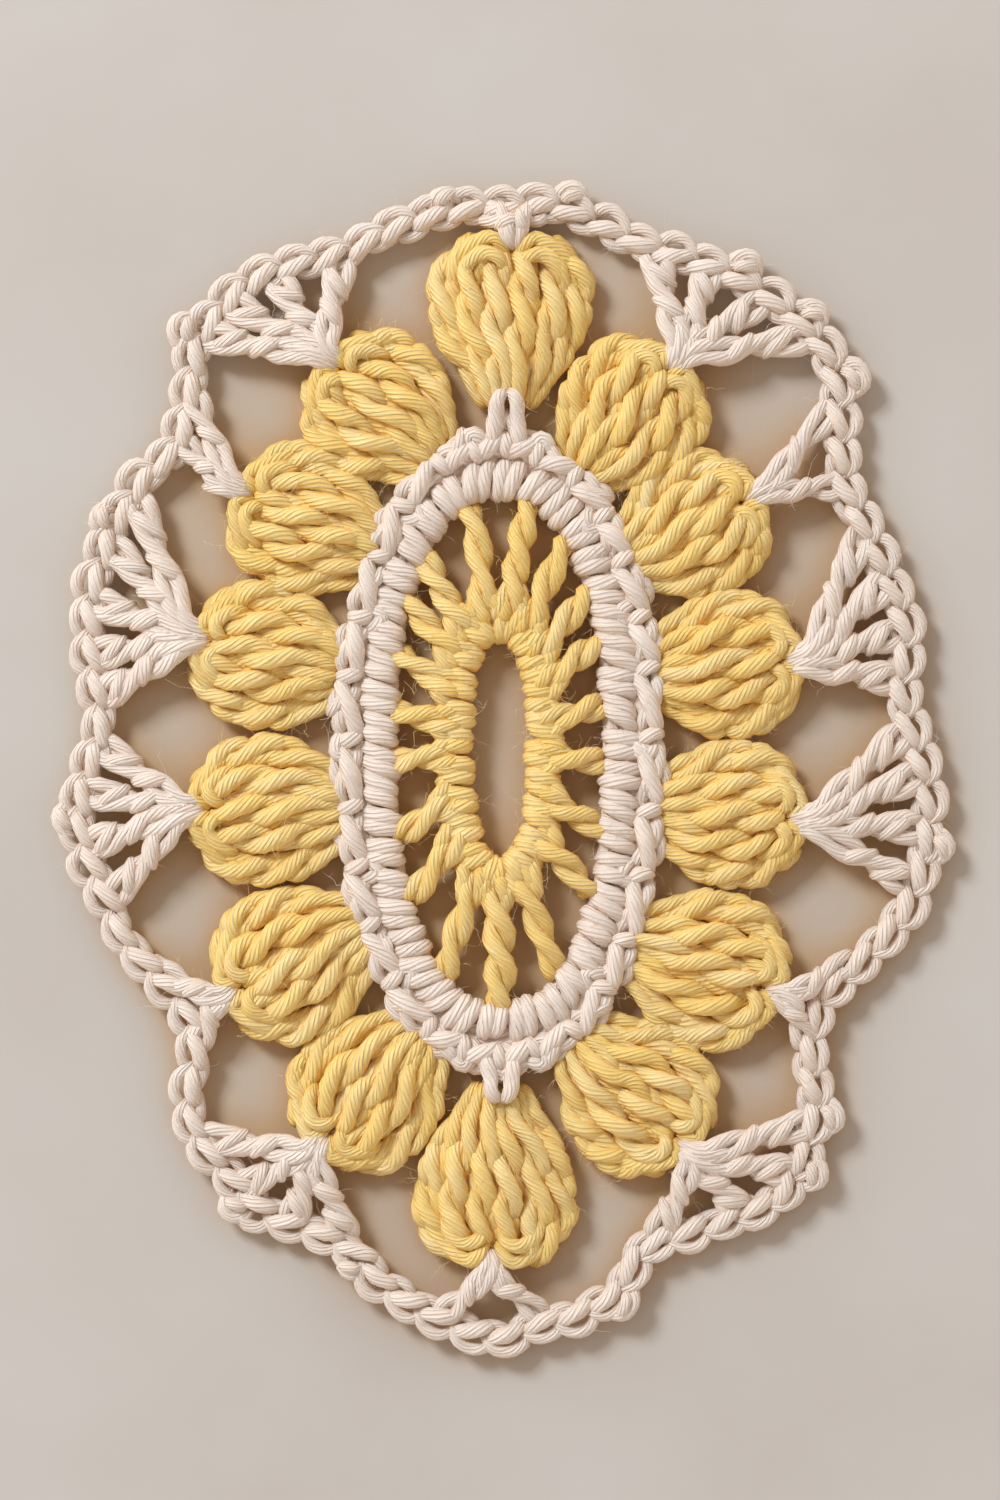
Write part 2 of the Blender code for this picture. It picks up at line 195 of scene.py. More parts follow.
# ------------------------------------------------------------ yarn to meshes
class Cloth:
    """Collects strands and turns them into one mesh."""

    def __init__(self, name, material, sides=15, plies=5, ply_turn=0.74, step=STEP):
        self.name, self.material = name, material
        self.sides, self.plies, self.ply_turn, self.step = sides, plies, ply_turn, step
        self.co, self.quads, self.tris, self.uv, self.tint, self.painted_shade = [], [], [], [], [], []
        self.n = 0
        self.length = 0.0

    def strand(self, points, r=R, squash=1.0):
        """One plied strand along the points.  r may be a row of radii."""
        q = smooth(points, self.step)
        n = len(q)
        SIDES = self.sides
        tan = tangents(q)
        up = np.array([0.0, 0.0, 1.0])
        if abs(tan[0] @ up) > 0.9:
            up = np.array([1.0, 0.0, 0.0])
        side = unit(np.cross(up, tan[0]))
        sides = np.empty((n, 3))
        sides[0] = side
        for i in range(1, n):                      # parallel transport
            side = side - tan[i] * (side @ tan[i])
            side = side / math.sqrt(side @ side)
            sides[i] = side
        ups = np.cross(tan, sides)
        s = arc(q)
        self.length += s[-1]
        rr = np.full(n, float(r)) if np.isscalar(r) else np.interp(
            np.linspace(0, 1, n), np.linspace(0, 1, len(r)), r)
        wob = rng.uniform(0, 6.28, 3)
        rr = rr * (1 + 0.04 * np.sin(s * 1.1 + wob[0]) + 0.03 * np.sin(s * 2.7 + wob[1]))
        rr[0] *= 0.6
        rr[-1] *= 0.6
        lead = rng.uniform(0, 6.28) - self.ply_turn * s + 0.3 * np.sin(s * 0.6 + wob[2])
        ang = 2 * math.pi * np.arange(SIDES) / SIDES
        lobe = 1 + PLY_DEPTH * np.cos(self.plies * ang) + 0.035 * np.cos(2 * ang + wob[0])
        phi = ang[None] + lead[:, None]
        rad = rr[:, None] * lobe[None]
        co = (q[:, None] + sides[:, None] * (rad * np.cos(phi))[:, :, None]
              + ups[:, None] * (rad * np.sin(phi))[:, :, None])
        if squash != 1.0:
            co[:, :, 2] = q[:, None, 2] + (co[:, :, 2] - q[:, None, 2]) * squash
        base = self.n
        self.co.append(co.reshape(-1, 3))
        idx = base + np.arange(n * SIDES).reshape(n, SIDES)
        a, b = idx[:-1], idx[1:]
        self.quads.append(np.stack([a, np.roll(a, -1, 1), np.roll(b, -1, 1), b], -1).reshape(-1, 4))
        u0 = np.arange(SIDES) / SIDES
        u1 = (np.arange(SIDES) + 1) / SIDES
        vv = s / (2 * math.pi * R) + rng.integers(0, 50)
        quv = np.empty((n - 1, SIDES, 4, 2))
        quv[..., 0, 0], quv[..., 1, 0], quv[..., 2, 0], quv[..., 3, 0] = u0, u1, u1, u0
        quv[..., 0, 1] = quv[..., 1, 1] = vv[:-1, None]
        quv[..., 2, 1] = quv[..., 3, 1] = vv[1:, None]
        self.uv.append(quv.reshape(-1, 2))
        self.co.append(np.stack([q[0] - tan[0] * 0.25 * rr[0], q[-1] + tan[-1] * 0.25 * rr[-1]]))
        c0, c1 = base + n * SIDES, base + n * SIDES + 1
        first, last = idx[0], idx[-1]
        self.tris.append(np.stack([np.roll(first, -1), first, np.full(SIDES, c0)], 1))
        self.tris.append(np.stack([last, np.roll(last, -1), np.full(SIDES, c1)], 1))
        self.tint.append(np.full(n * SIDES + 2, rng.normal(0, 1)))
        # painted shade: how far each point is turned down, lies low or nears a strand's end, which pulls its colour
        # towards the deep colour
        nz = sides[:, 2][:, None] * np.cos(phi) + ups[:, 2][:, None] * np.sin(phi)
        painted_shade = 1.25 * np.clip(0.58 - nz, 0, 1) + 0.35 * np.clip(1.7 - co[:, :, 2], 0, 1)
        ends = np.clip((np.minimum(s, s[-1] - s) - 0.2) / 1.1, 0, 1)
        painted_shade = np.clip(painted_shade + 0.5 * (1 - ends)[:, None], 0, 1)
        self.painted_shade.append(np.concatenate([painted_shade.ravel(), [1.0, 1.0]]))
        self.n += n * SIDES + 2

    def fuzz(self, count, scale=1.0, m=6):
        """Stray fibres: fine curved hairs that stand off the yarn."""
        co = np.concatenate(self.co)
        painted_shade = np.concatenate(self.painted_shade)
        # hairs start only from points with little painted shade
        pick = rng.choice(np.flatnonzero(painted_shade < 0.75), count)
        t = np.linspace(0, 1, m)[None, :, None]
        a = rng.uniform(0, 2 * math.pi, (count, 1, 1))
        long = np.minimum(rng.gamma(3.0, 0.42, (count, 1, 1)) + 0.4, 2.6) * scale
        head = np.concatenate([np.cos(a), np.sin(a), rng.uniform(-0.15, 0.45, a.shape)], 2)
        bend = np.concatenate([-np.sin(a), np.cos(a), np.full(a.shape, -0.25)], 2) \
            * rng.normal(0, 0.55, (count, 1, 1))
        p = co[pick][:, None] + long * (head * t + bend * t * t
                                        + 0.06 * scale * rng.normal(0, 1, (count, m, 3)) * (t > 0.1))
        p[..., 2] = np.clip(p[..., 2], 0.1, 4.9)
        d = unit(np.gradient(p, axis=1))
        side = unit(np.cross(d, np.array([0.0, 0.0, 1.0])))
        top = np.cross(side, d)
        rad = 0.021 * (1 - 0.6 * t) * rng.uniform(0.7, 1.3, (count, 1, 1))
        rings = np.stack([p + rad * (side * math.cos(b) + top * math.sin(b))
                          for b in (0.0, 2.0944, 4.1888)], 2)
        idx = self.n + np.arange(count * m * 3).reshape(count, m, 3)
        u, v = idx[:, :-1], idx[:, 1:]
        quads = np.stack([u, np.roll(u, -1, 2), np.roll(v, -1, 2), v], -1).reshape(-1, 4)
        self.co.append(rings.reshape(-1, 3))
        self.quads.append(quads)
        self.uv.append(np.full((len(quads) * 4, 2), 0.25 / THREADS))
        self.tris.append(idx[:, 0, ::-1])
        self.tris.append(idx[:, -1])
        self.tint.append(np.full(count * m * 3, 2.0))
        # the hairs carry no painted shade
        self.painted_shade.append(np.zeros(count * m * 3))
        self.n += count * m * 3

    def build(self):
        co = np.concatenate(self.co)
        co[:, 2] = np.maximum(co[:, 2], 0.02)
        co = co / 1000.0
        quads = np.concatenate(self.quads)
        tris = np.concatenate(self.tris)
        uv = np.concatenate(self.uv + [np.full((len(tris) * 3, 2), 0.5)])
        mesh = bpy.data.meshes.new(self.name)
        mesh.vertices.add(len(co))
        mesh.vertices.foreach_set("co", co.astype(np.float32).ravel())
        loops = np.concatenate([quads.ravel(), tris.ravel()])
        mesh.loops.add(len(loops))
        mesh.loops.foreach_set("vertex_index", loops.astype(np.int32))
        nq, nt = len(quads), len(tris)
        mesh.polygons.add(nq + nt)
        start = np.concatenate([np.arange(nq) * 4, nq * 4 + np.arange(nt) * 3])
        mesh.polygons.foreach_set("loop_start", start.astype(np.int32))
        mesh.polygons.foreach_set("use_smooth", np.ones(nq + nt, bool))
        layer = mesh.uv_layers.new(name="Yarn")
        layer.data.foreach_set("uv", uv.astype(np.float32).ravel())
        tint = mesh.attributes.new("strand", "FLOAT", "POINT")
        tint.data.foreach_set("value", np.concatenate(self.tint).astype(np.float32))
        # the painted shade goes on the mesh as a point attribute for the material
        painted_shade = mesh.attributes.new("painted_shade", "FLOAT", "POINT")
        painted_shade.data.foreach_set("value", np.concatenate(self.painted_shade).astype(np.float32))
        mesh.update(calc_edges=True)
        mesh.validate()
        mesh.materials.append(self.material)
        ob = bpy.data.objects.new(self.name, mesh)
        bpy.context.scene.collection.objects.link(ob)
        self.triangles = 2 * nq + nt
        return ob


def two_ply(cloth, path, rho, r, turn, phase, flat=0.8, quiet=(0.0, 0.0), squash=1.0):
    """A post: two strands laid round each other along a path.  quiet is the
    length at each end over which they run side by side."""
    q = smooth(path, 0.5)
    n = len(q)
    tan = tangents(q)
    left = unit(np.cross([0, 0, 1.0], tan))
    up = np.cross(tan, left)
    s = arc(q)
    rate = np.ones(n)
    if quiet[0] > 0:
        rate *= np.clip(s / quiet[0], 0, 1) ** 2
    if quiet[1] > 0:
        rate *= np.clip((s[-1] - s) / quiet[1], 0, 1)
    theta = phase - turn * np.concatenate([[0], np.cumsum((rate[1:] + rate[:-1]) / 2 * np.diff(s))])
    rr = np.interp(np.linspace(0, 1, n), np.linspace(0, 1, len(rho)), rho)
    for k in (0, 1):
        th = theta + math.pi * k
        pts = q + left * (rr * np.cos(th))[:, None] + up * (rr * np.sin(th) * flat)[:, None]
        cloth.strand(pts[::2], r=r, squash=squash)


def lay(cloth, centre, rows, r, squash=1.0):
    """A strand through rows of (share of the centre path, left, up)."""
    s = arc(centre)
    s = s / s[-1]
    tan = tangents(centre)
    left = unit(np.cross([0, 0, 1.0], tan))
    pts = []
    for share, n, dz in rows:
        c = [np.interp(share, s, centre[:, k]) for k in range(3)]
        l = [np.interp(share, s, left[:, k]) for k in range(3)]
        if share > 1:
            c = centre[-1] + tan[-1] * (share - 1) * arc(centre)[-1]
        pts.append(np.array(c) + np.array(l) * n + np.array([0, 0, dz]))
    cloth.strand(pts, r=r, squash=squash)


# ---------------------------------------------------------------- materials
def yarn_material(name, base, deep, pale_tone_and_highlight, furrow):
    mat = bpy.data.materials.new(name)
    mat.use_nodes = True
    nt = mat.node_tree
    nodes, links = nt.nodes, nt.links
    bsdf = nodes["Principled BSDF"]
    uvn = nodes.new("ShaderNodeUVMap")
    uvn.uv_map = "Yarn"
    sep = nodes.new("ShaderNodeSeparateXYZ")
    links.new(uvn.outputs["UV"], sep.inputs[0])

    def maths(op, a, b=None, clamp=False):
        m = nodes.new("ShaderNodeMath")
        m.operation = op
        m.use_clamp = clamp
        for i, v in enumerate((a, b)):
            if v is None:
                continue
            if isinstance(v, (int, float)):
                m.inputs[i].default_value = v
            else:
                links.new(v, m.inputs[i])
        return m.outputs[0]

    # fibres: noise stretched along the threads
    stretch = nodes.new("ShaderNodeCombineXYZ")
    links.new(maths("MULTIPLY", sep.outputs[0], 16.0), stretch.inputs[0])
    links.new(maths("MULTIPLY", sep.outputs[1], 2.6), stretch.inputs[1])
    hair = nodes.new("ShaderNodeTexNoise")
    hair.inputs["Scale"].default_value = 2.2
    hair.inputs["Detail"].default_value = 3.0
    links.new(stretch.outputs[0], hair.inputs["Vector"])
    shake = maths("MULTIPLY", maths("SUBTRACT", hair.outputs[0], 0.5), 3.4)
    thread = maths("SINE", maths("ADD", maths("MULTIPLY", sep.outputs[0], 2 * math.pi * THREADS), shake))
    ridge = maths("MULTIPLY", maths("ADD", thread, 1.0), 0.5)
    fine = maths("ADD", maths("MULTIPLY", ridge, 0.85), maths("MULTIPLY", hair.outputs[0], 0.6))
    bump = nodes.new("ShaderNodeBump")
    bump.inputs["Strength"].default_value = 1.0
    bump.inputs["Distance"].default_value = 0.00013
    links.new(fine, bump.inputs["Height"])
    links.new(bump.outputs[0], bsdf.inputs["Normal"])
    # painted shade: the furrows between plies and threads, and the points that the painted-shade attribute marks, take
    # the deep colour
    big = maths("COSINE", maths("MULTIPLY", sep.outputs[0], 2 * math.pi * PLIES))
    valley = maths("MULTIPLY", maths("SUBTRACT", 1.0, big), 0.5)
    lines = maths("MULTIPLY", maths("POWER", maths("SUBTRACT", 1.0, ridge), 1.7),
                  maths("ADD", maths("MULTIPLY", hair.outputs[0], 1.5), 0.15))
    painted_shade_mix = maths("ADD", maths("MULTIPLY", valley, 0.10), maths("MULTIPLY", lines, furrow))
    # painted shade from the mesh attribute: down-turned and low parts darken to the deep colour
    painted_shade = nodes.new("ShaderNodeAttribute")
    painted_shade.attribute_name = "painted_shade"
    painted_shade_mix = maths("ADD", painted_shade_mix, maths("MULTIPLY", painted_shade.outputs["Fac"], 0.72), clamp=True)
    mix = nodes.new("ShaderNodeMix")
    mix.data_type = "RGBA"
    mix.inputs[6].default_value = (*base, 1)
    mix.inputs[7].default_value = (*deep, 1)
    links.new(painted_shade_mix, mix.inputs[0])
    # strand to strand change and soft clouds of tone, plus a painted highlight on the thread crests, held back where
    # the painted shade lies
    att = nodes.new("ShaderNodeAttribute")
    att.attribute_name = "strand"
    cloud = nodes.new("ShaderNodeTexNoise")
    cloud.inputs["Scale"].default_value = 260.0
    cloud.inputs["Detail"].default_value = 2.0
    geo = nodes.new("ShaderNodeTexCoord")
    links.new(geo.outputs["Object"], cloud.inputs["Vector"])
    tone_and_highlight_mix = maths("ADD", maths("MULTIPLY", att.outputs["Fac"], 0.10),
                 maths("MULTIPLY", maths("SUBTRACT", cloud.outputs[0], 0.5), 0.6))
    # painted highlight: the thread crests lighten towards the pale colour
    tone_and_highlight_mix = maths("ADD", tone_and_highlight_mix, maths("MULTIPLY", ridge, 0.30))
    tone_and_highlight_mix = maths("SUBTRACT", tone_and_highlight_mix, maths("MULTIPLY", painted_shade.outputs["Fac"], 0.6), clamp=True)
    mix2 = nodes.new("ShaderNodeMix")
    mix2.data_type = "RGBA"
    links.new(tone_and_highlight_mix, mix2.inputs[0])
    links.new(mix.outputs[2], mix2.inputs[6])
    mix2.inputs[7].default_value = (*pale_tone_and_highlight, 1)
    links.new(mix2.outputs[2], bsdf.inputs["Base Color"])
    bsdf.inputs["Roughness"].default_value = 0.48
    bsdf.inputs["Specular IOR Level"].default_value = 0.36
    bsdf.inputs["Sheen Weight"].default_value = 0.10
    bsdf.inputs["Sheen Roughness"].default_value = 0.5
    return mat


# each yarn's second colour is painted shade for furrows, down-turned sides and low parts; its third is pale tone that
# also carries the painted highlight on thread crests
YELLOW = yarn_material("butter_cotton", (0.98, 0.705, 0.235), (0.99, 0.56, 0.075),
                       (0.98, 0.845, 0.53), 0.38)
CREAM = yarn_material("cream_cotton", (0.92, 0.78, 0.68), (0.95, 0.73, 0.55),
                      (0.93, 0.855, 0.79), 0.40)


# -------------------------------------------------------------------- petals
def petal_axes(row):
    name, x, y, long, wide, angle, posts, outline = row
    a = math.radians(angle)
    u = np.array([math.cos(a), math.sin(a)])
    return np.array([x, y]) + SHIFT, u, np.array([-u[1], u[0]])


def petal_end(row, sign, beyond=0.0):
    mid, u, v = petal_axes(row)
    return mid + sign * u * (0.5 * row[3] + beyond)


def petal(row):
    name, x, y, long, wide, angle, posts, outline = row
    cloth = Cloth("yarn_" + name, YELLOW)
    mid, u, v = petal_axes(row)
    table = np.array(OUTLINES[outline])
    fine = smooth(table, 0.02)

    def share(t):
        return float(np.interp(t, fine[:, 0], fine[:, 1]))

    def place(t, q, margin, z):
        """t runs from base to tip, q from side to side."""
        half = max(0.25, 0.5 * wide * share(t) - margin)
        p = mid + u * (-0.5 * long + 0.7 + t * (long - 1.4)) + v * q * half
        return np.array([p[0], p[1], z])

    for j in range(posts):
        q0 = (j - (posts - 1) / 2) / ((posts - 1) / 2)
        q = q0 + rng.normal(0, 0.025) * (abs(q0) < 0.9)
        last = 0.86 + 0.11 * min(1.0, abs(q0) * 1.8)
        pts = []
        for t in (0.0, 0.07, 0.17, 0.30, 0.44, 0.58, 0.72, 0.84, 0.93, 1.0):
            tt = t * last
            high = math.sin(math.pi * min(1.0, 0.08 + 0.86 * tt)) ** 0.55
            z = 1.30 + 1.75 * (1 - 0.80 * q0 * q0) * high + 0.15 * rng.normal()
            if t == 0.0:
                z -= 0.4
            if t == 1.0:
                z -= 0.6
            pts.append(place(tt, q, 1.45 - 0.75 * (t < 0.1), z))
        two_ply(cloth, pts, rho=(0.42, 0.74, 0.82, 0.82, 0.80, 0.60),
                r=(0.60, 0.80, 0.86, 0.88, 0.86, 0.72), turn=0.66 + rng.normal(0, 0.05),
                phase=rng.uniform(-0.5, 0.9), quiet=(5.0, 1.0), flat=0.85)
    # the back legs of the stitches, low between the posts
    for j in range(posts + 1):
        q = (j - posts / 2) / (posts / 2) * 0.86
        cloth.strand([place(t, q, 1.3, 1.05 + 1.15 * (1 - 0.75 * q * q) * math.sin(math.pi * t) ** 0.7)
                      for t in (0.06, 0.2, 0.4, 0.6, 0.80, 0.94)], r=(0.6, 0.95, 1.05, 1.10, 1.05, 0.75))
    # the cluster's closing loops, either side of the cleft
    for side in (-1, 1):
        k = rng.normal(0, 0.12, 6)
        cloth.strand([place(0.87, 0.07 * side, 0.8, 2.3), place(0.955, 0.30 * side, 0.9, 2.9 + k[0]),
                      place(0.985, 0.62 * side, 1.0, 2.75), place(0.91, 0.84 * side, 1.0, 2.4 + k[1]),
                      place(0.80, 0.93 * side, 0.95, 1.8), place(0.72, 0.98 * side, 0.9, 1.1)],
                     r=(0.5, 0.76, 0.84, 0.84, 0.80, 0.5))
        cloth.strand([place(0.78, 0.09 * side, 1.0, 2.4), place(0.865, 0.24 * side, 1.2, 3.20 + k[2]),
                      place(0.89, 0.50 * side, 1.3, 3.15 + k[3]), place(0.82, 0.72 * side, 1.5, 2.8),
                      place(0.70, 0.74 * side, 1.5, 2.2)], r=(0.5, 0.72, 0.78, 0.74, 0.5))
        # bulges low on the flank, which scallop the outline
        for t in (0.30, 0.52, 0.71):
            t += rng.normal(0, 0.025)
            cloth.strand([place(t - 0.14, side, 1.5, 1.3), place(t - 0.06, side, 0.66, 1.55),
                          place(t + 0.05, side, 0.46, 1.75), place(t + 0.13, side, 1.3, 1.5)],
                         r=(0.45, 0.76, 0.80, 0.45))
    cloth.fuzz(110)
    cloth.fuzz(360, 0.45, 4)
    return cloth


# -------------------------------------------------------- chains along a line
def along(line, pitch, count=None):
    """Even stations on a closed line that runs clockwise."""
    closed = np.vstack([line, line[:1]])
    s = arc(closed)
    total = s[-1]
    n = count or int(round(total / pitch))

    def get(d):
        d = d % total
        return np.array([np.interp(d, s, closed[:, 0]), np.interp(d, s, closed[:, 1])])

    def frame_at(d):
        p = get(d)
        t = unit(get(d + 0.7) - get(d - 0.7))
        return p, t, np.array([-t[1], t[0]])

    return total, n, frame_at


def local(fr, d, n, z):
    """The point d mm along the line and n mm out from it."""
    p, t, out = fr(d)
    p = p + out * n
    return np.array([p[0], p[1], z])


LINE = closed_curve([np.array(p) + SHIFT for row in BORDER for p in row[1:]], 12)


def border():
    cloth = Cloth("yarn_border", CREAM, sides=12, plies=4, ply_turn=0.55, step=0.60)
    total, n, even = along(LINE, 3.65)
    p = total / n
    z = 1.75
    sway = rng.normal(0, 0.20, 46)

    def fr(d):
        point, ahead, out = even(d)
        at = (d % total) / total * len(sway)
        return point + out * np.interp(at, np.arange(len(sway) + 1), np.append(sway, sway[0])), ahead, out

    for i in range(n):
        d = i * p + rng.normal(0, 0.12)
        k = rng.normal(0, 1, 8)
        # the leaf-shaped leg, from inside to outside as it runs on
        tilt = 0.48 + 0.14 * k[0]
        cloth.strand([local(fr, d - 0.13 * p, -tilt - 0.42, z - 0.9),
                      local(fr, d + 0.12 * p, -tilt - 0.22, z + 0.15),
                      local(fr, d + 0.50 * p, -0.24 + 0.05 * k[5], z + 0.50 + 0.08 * k[1]),
                      local(fr, d + 0.88 * p, tilt - 0.30, z + 0.15),
                      local(fr, d + 1.13 * p, tilt - 0.12, z - 0.9)],
                     r=(0.40, 0.74, 0.84, 0.74, 0.40))
        # the outer leg bulges out
        out = 1.62 + 0.17 * k[2]
        cloth.strand([local(fr, d - 0.02 * p, 0.15, z - 0.6),
                      local(fr, d + 0.10 * p, out * 0.70, z - 0.15),
                      local(fr, d + 0.42 * p, out, z - 0.02 + 0.08 * k[6]),
                      local(fr, d + 0.80 * p, out * 0.82, z + 0.05),
                      local(fr, d + 1.04 * p, 0.40, z + 0.05),
                      local(fr, d + 1.16 * p, -0.05, z - 0.7)],
                     r=(0.50, 0.64, 0.68, 0.66, 0.60, 0.45))
        # the back strand inside
        inn = 1.20 + 0.12 * k[3]
        cloth.strand([local(fr, d + 0.38 * p, -0.25, z - 0.9),
                      local(fr, d + 0.58 * p, -inn * 0.85, z - 0.25),
                      local(fr, d + 0.92 * p, -inn, z - 0.15),
                      local(fr, d + 1.26 * p, -inn * 0.75, z - 0.25),
                      local(fr, d + 1.46 * p, -0.20, z - 0.9)],
                     r=(0.45, 0.56, 0.60, 0.56, 0.45))

    for k, (posts, first, mid, last, sag) in enumerate(BORDER):
        row = PETALS[k]
        _, u, v = petal_axes(row)
        deep = petal_end(row, 1, -2.1)
        lip = petal_end(row, 1, 0.5)
        i0, i1 = 48 * k, 48 * k + 24
        big = posts > 2
        for j in range(posts):
            i = i0 + round((i1 - i0) * j / (posts - 1))
            ahead = unit(LINE[(i + 3) % len(LINE)] - LINE[i - 3])
            outw = np.array([-ahead[1], ahead[0]])
            end = LINE[i] - outw * 0.40
            # the first and last posts of the row lie a little inside its ends
            f = (j - (posts - 1) / 2)
            a = deep - v * f * 0.28
            b = lip - v * f * (0.55 if big else 0.75)
            w = unit(end - b)
            length = np.linalg.norm(end - b)
            z0 = 2.75 + 0.22 * (j % 2)
            centre = smooth([(*a, z0 - 0.45), (*b, z0 + 0.35),
                             (*(b + w * 0.30 * length), 2.75), (*(b + w * 0.62 * length), 2.25),
                             (*(end - w * 0.6), 2.0), (*end, 1.7)], 0.4)
            wide = 1.22 if big else 1.02
            rad = (0.76 if big else 0.66) * (1 + 0.05 * rng.normal())
            lay(cloth, centre, [(0.10, 0.0, -0.2), (0.40, 0.0, -0.55), (0.70, 0.0, -0.65), (0.98, 0.0, -0.5)],
                r=(0.5, 0.70, 0.72, 0.5))
            h = rng.normal(0, 0.06, 12)
            m = 0.03 * rng.normal()
            lay(cloth, centre, [(0.0, -0.18, -0.1), (0.20, -0.42, 0.1), (0.44 + m, -0.62 * wide, 0.0),
                                (0.60 + m, -0.10 + h[0], 0.25), (0.72 + m, 0.48 * wide, 0.30),
                                (0.84, 0.78 * wide + h[1], 0.05), (0.94, 0.80 * wide, -0.1),
                                (1.05, 0.45 * wide, -0.7)],
                r=(0.5, rad, rad, rad * 1.08, rad, rad, rad, 0.45))
            lay(cloth, centre, [(0.0, 0.18, 0.1), (0.20, 0.44, 0.15), (0.44 + m, 0.66 * wide, 0.1),
                                (0.61 + m, 0.15 + h[2], -0.40), (0.73 + m, -0.42 * wide, -0.25),
                                (0.84, -0.76 * wide + h[3], 0.0), (0.94, -0.80 * wide, -0.05),
                                (1.05, -0.45 * wide, -0.7)],
                r=(0.5, rad, rad, rad, rad, rad, rad, 0.45))
            # yarn-over bars that cross the post
            for c0, rr in (((0.52 + m), 0.68), ((0.79 + m), 0.62)) if big else (((0.52 + m), 0.62),):
                lay(cloth, centre, [(c0 - 0.10, -0.95 * wide, -0.75), (c0 - 0.06, -0.66 * wide, 0.15),
                                    (c0 + 0.02, -0.05, 0.68), (c0 + 0.10, 0.62 * wide, 0.25),
                                    (c0 + 0.13, 0.92 * wide, -0.7)],
                    r=(0.4, rr, rr * 1.04, rr, 0.4))
        # the knot where the posts leave the petal
        for side in (-1, 1):
            c = petal_end(row, 1, 0.15)
            cloth.strand([(*(c + v * side * 0.75 - u * 1.3), 2.2), (*(c + v * side * 0.85 - u * 0.1), 3.2),
                          (*(c + v * side * 1.10 + u * 1.2), 3.1), (*(c + v * side * 1.45 + u * 2.6), 2.2)],
                         r=(0.45, 0.62, 0.66, 0.45))

    closed = np.vstack([LINE, LINE[:1]])
    for px, py in PICOTS:
        c = np.array([px, py]) + SHIFT
        i = int(np.argmin(np.linalg.norm(LINE - c, axis=1)))
        d = arc(closed)[i]
        out = 2.35 + 0.22 * rng.normal()
        cloth.strand([local(fr, d - 1.6, 0.6, 1.2), local(fr, d - 1.30, out * 0.68, 1.7),
                      local(fr, d - 0.55, out, 1.95), local(fr, d + 0.45, out + 0.08, 1.95),
                      local(fr, d + 1.15, out * 0.68, 1.6), local(fr, d + 1.35, 0.6, 1.1)],
                     r=(0.5, 0.66, 0.72, 0.72, 0.66, 0.5))
        cloth.strand([local(fr, d - 0.9, 0.7, 1.6), local(fr, d - 0.3, 1.35, 2.5),
                      local(fr, d + 0.5, 1.75, 2.3), local(fr, d + 0.9, 1.9, 1.4)],
                     r=(0.45, 0.62, 0.62, 0.45))
    cloth.fuzz(380)
    cloth.fuzz(620, 0.45, 4)
    return cloth


# --------------------------------------------------------------- inner round
def oval_line(name, grow_x, grow_y=None, count=360):
    x, y, hx, hy = OVALS[name]
    a = -2 * math.pi * np.arange(count) / count + math.pi / 2
    c, s = np.cos(a), np.sin(a)
    r = (np.abs(c) ** OVAL_POWER + np.abs(s) ** OVAL_POWER) ** (-1 / OVAL_POWER)
    grow_y = grow_x if grow_y is None else grow_y
    return np.stack([x + SHIFT[0] + (hx + grow_x) * r * c, y + SHIFT[1] + (hy + grow_y) * r * s], 1)


def arches(cloth, line, count, inside, outside, top, r, slant, group=2):
    """Close stitches laid over a core, as arches across the line, in groups."""
    total, n, fr = along(line, 1.0, count)
    p = total / n
    lean = 0.0
    for i in range(n):
        if i % group == 0:
            lean = slant * (1 + rng.normal(0, 0.42))
            inn, out = rng.normal(0, 0.14), rng.normal(0, 0.22)
        d = i * p + rng.normal(0, 0.06 * p) + (0.08 * p if i % group == 0 else -0.08 * p)
        sl = lean + rng.normal(0, 0.16)
        h = top + rng.normal(0, 0.09) - 0.5 * abs(inn)
        a, b = inside + inn + rng.normal(0, 0.05), outside + out + rng.normal(0, 0.07)
        cloth.strand([local(fr, d - sl, a + 0.45, 0.7), local(fr, d - sl * 0.95, a + 0.62 * r, 1.75),
                      local(fr, d - sl * 0.45, a * 0.42, h), local(fr, d + sl * 0.30, b * 0.36, h),
                      local(fr, d + sl * 0.90, b - 0.70 * r, 1.85), local(fr, d + sl, b - 0.40, 0.8)],
                     r=(0.55, r * 0.93, r, r, r * 0.93, 0.55), squash=0.92)


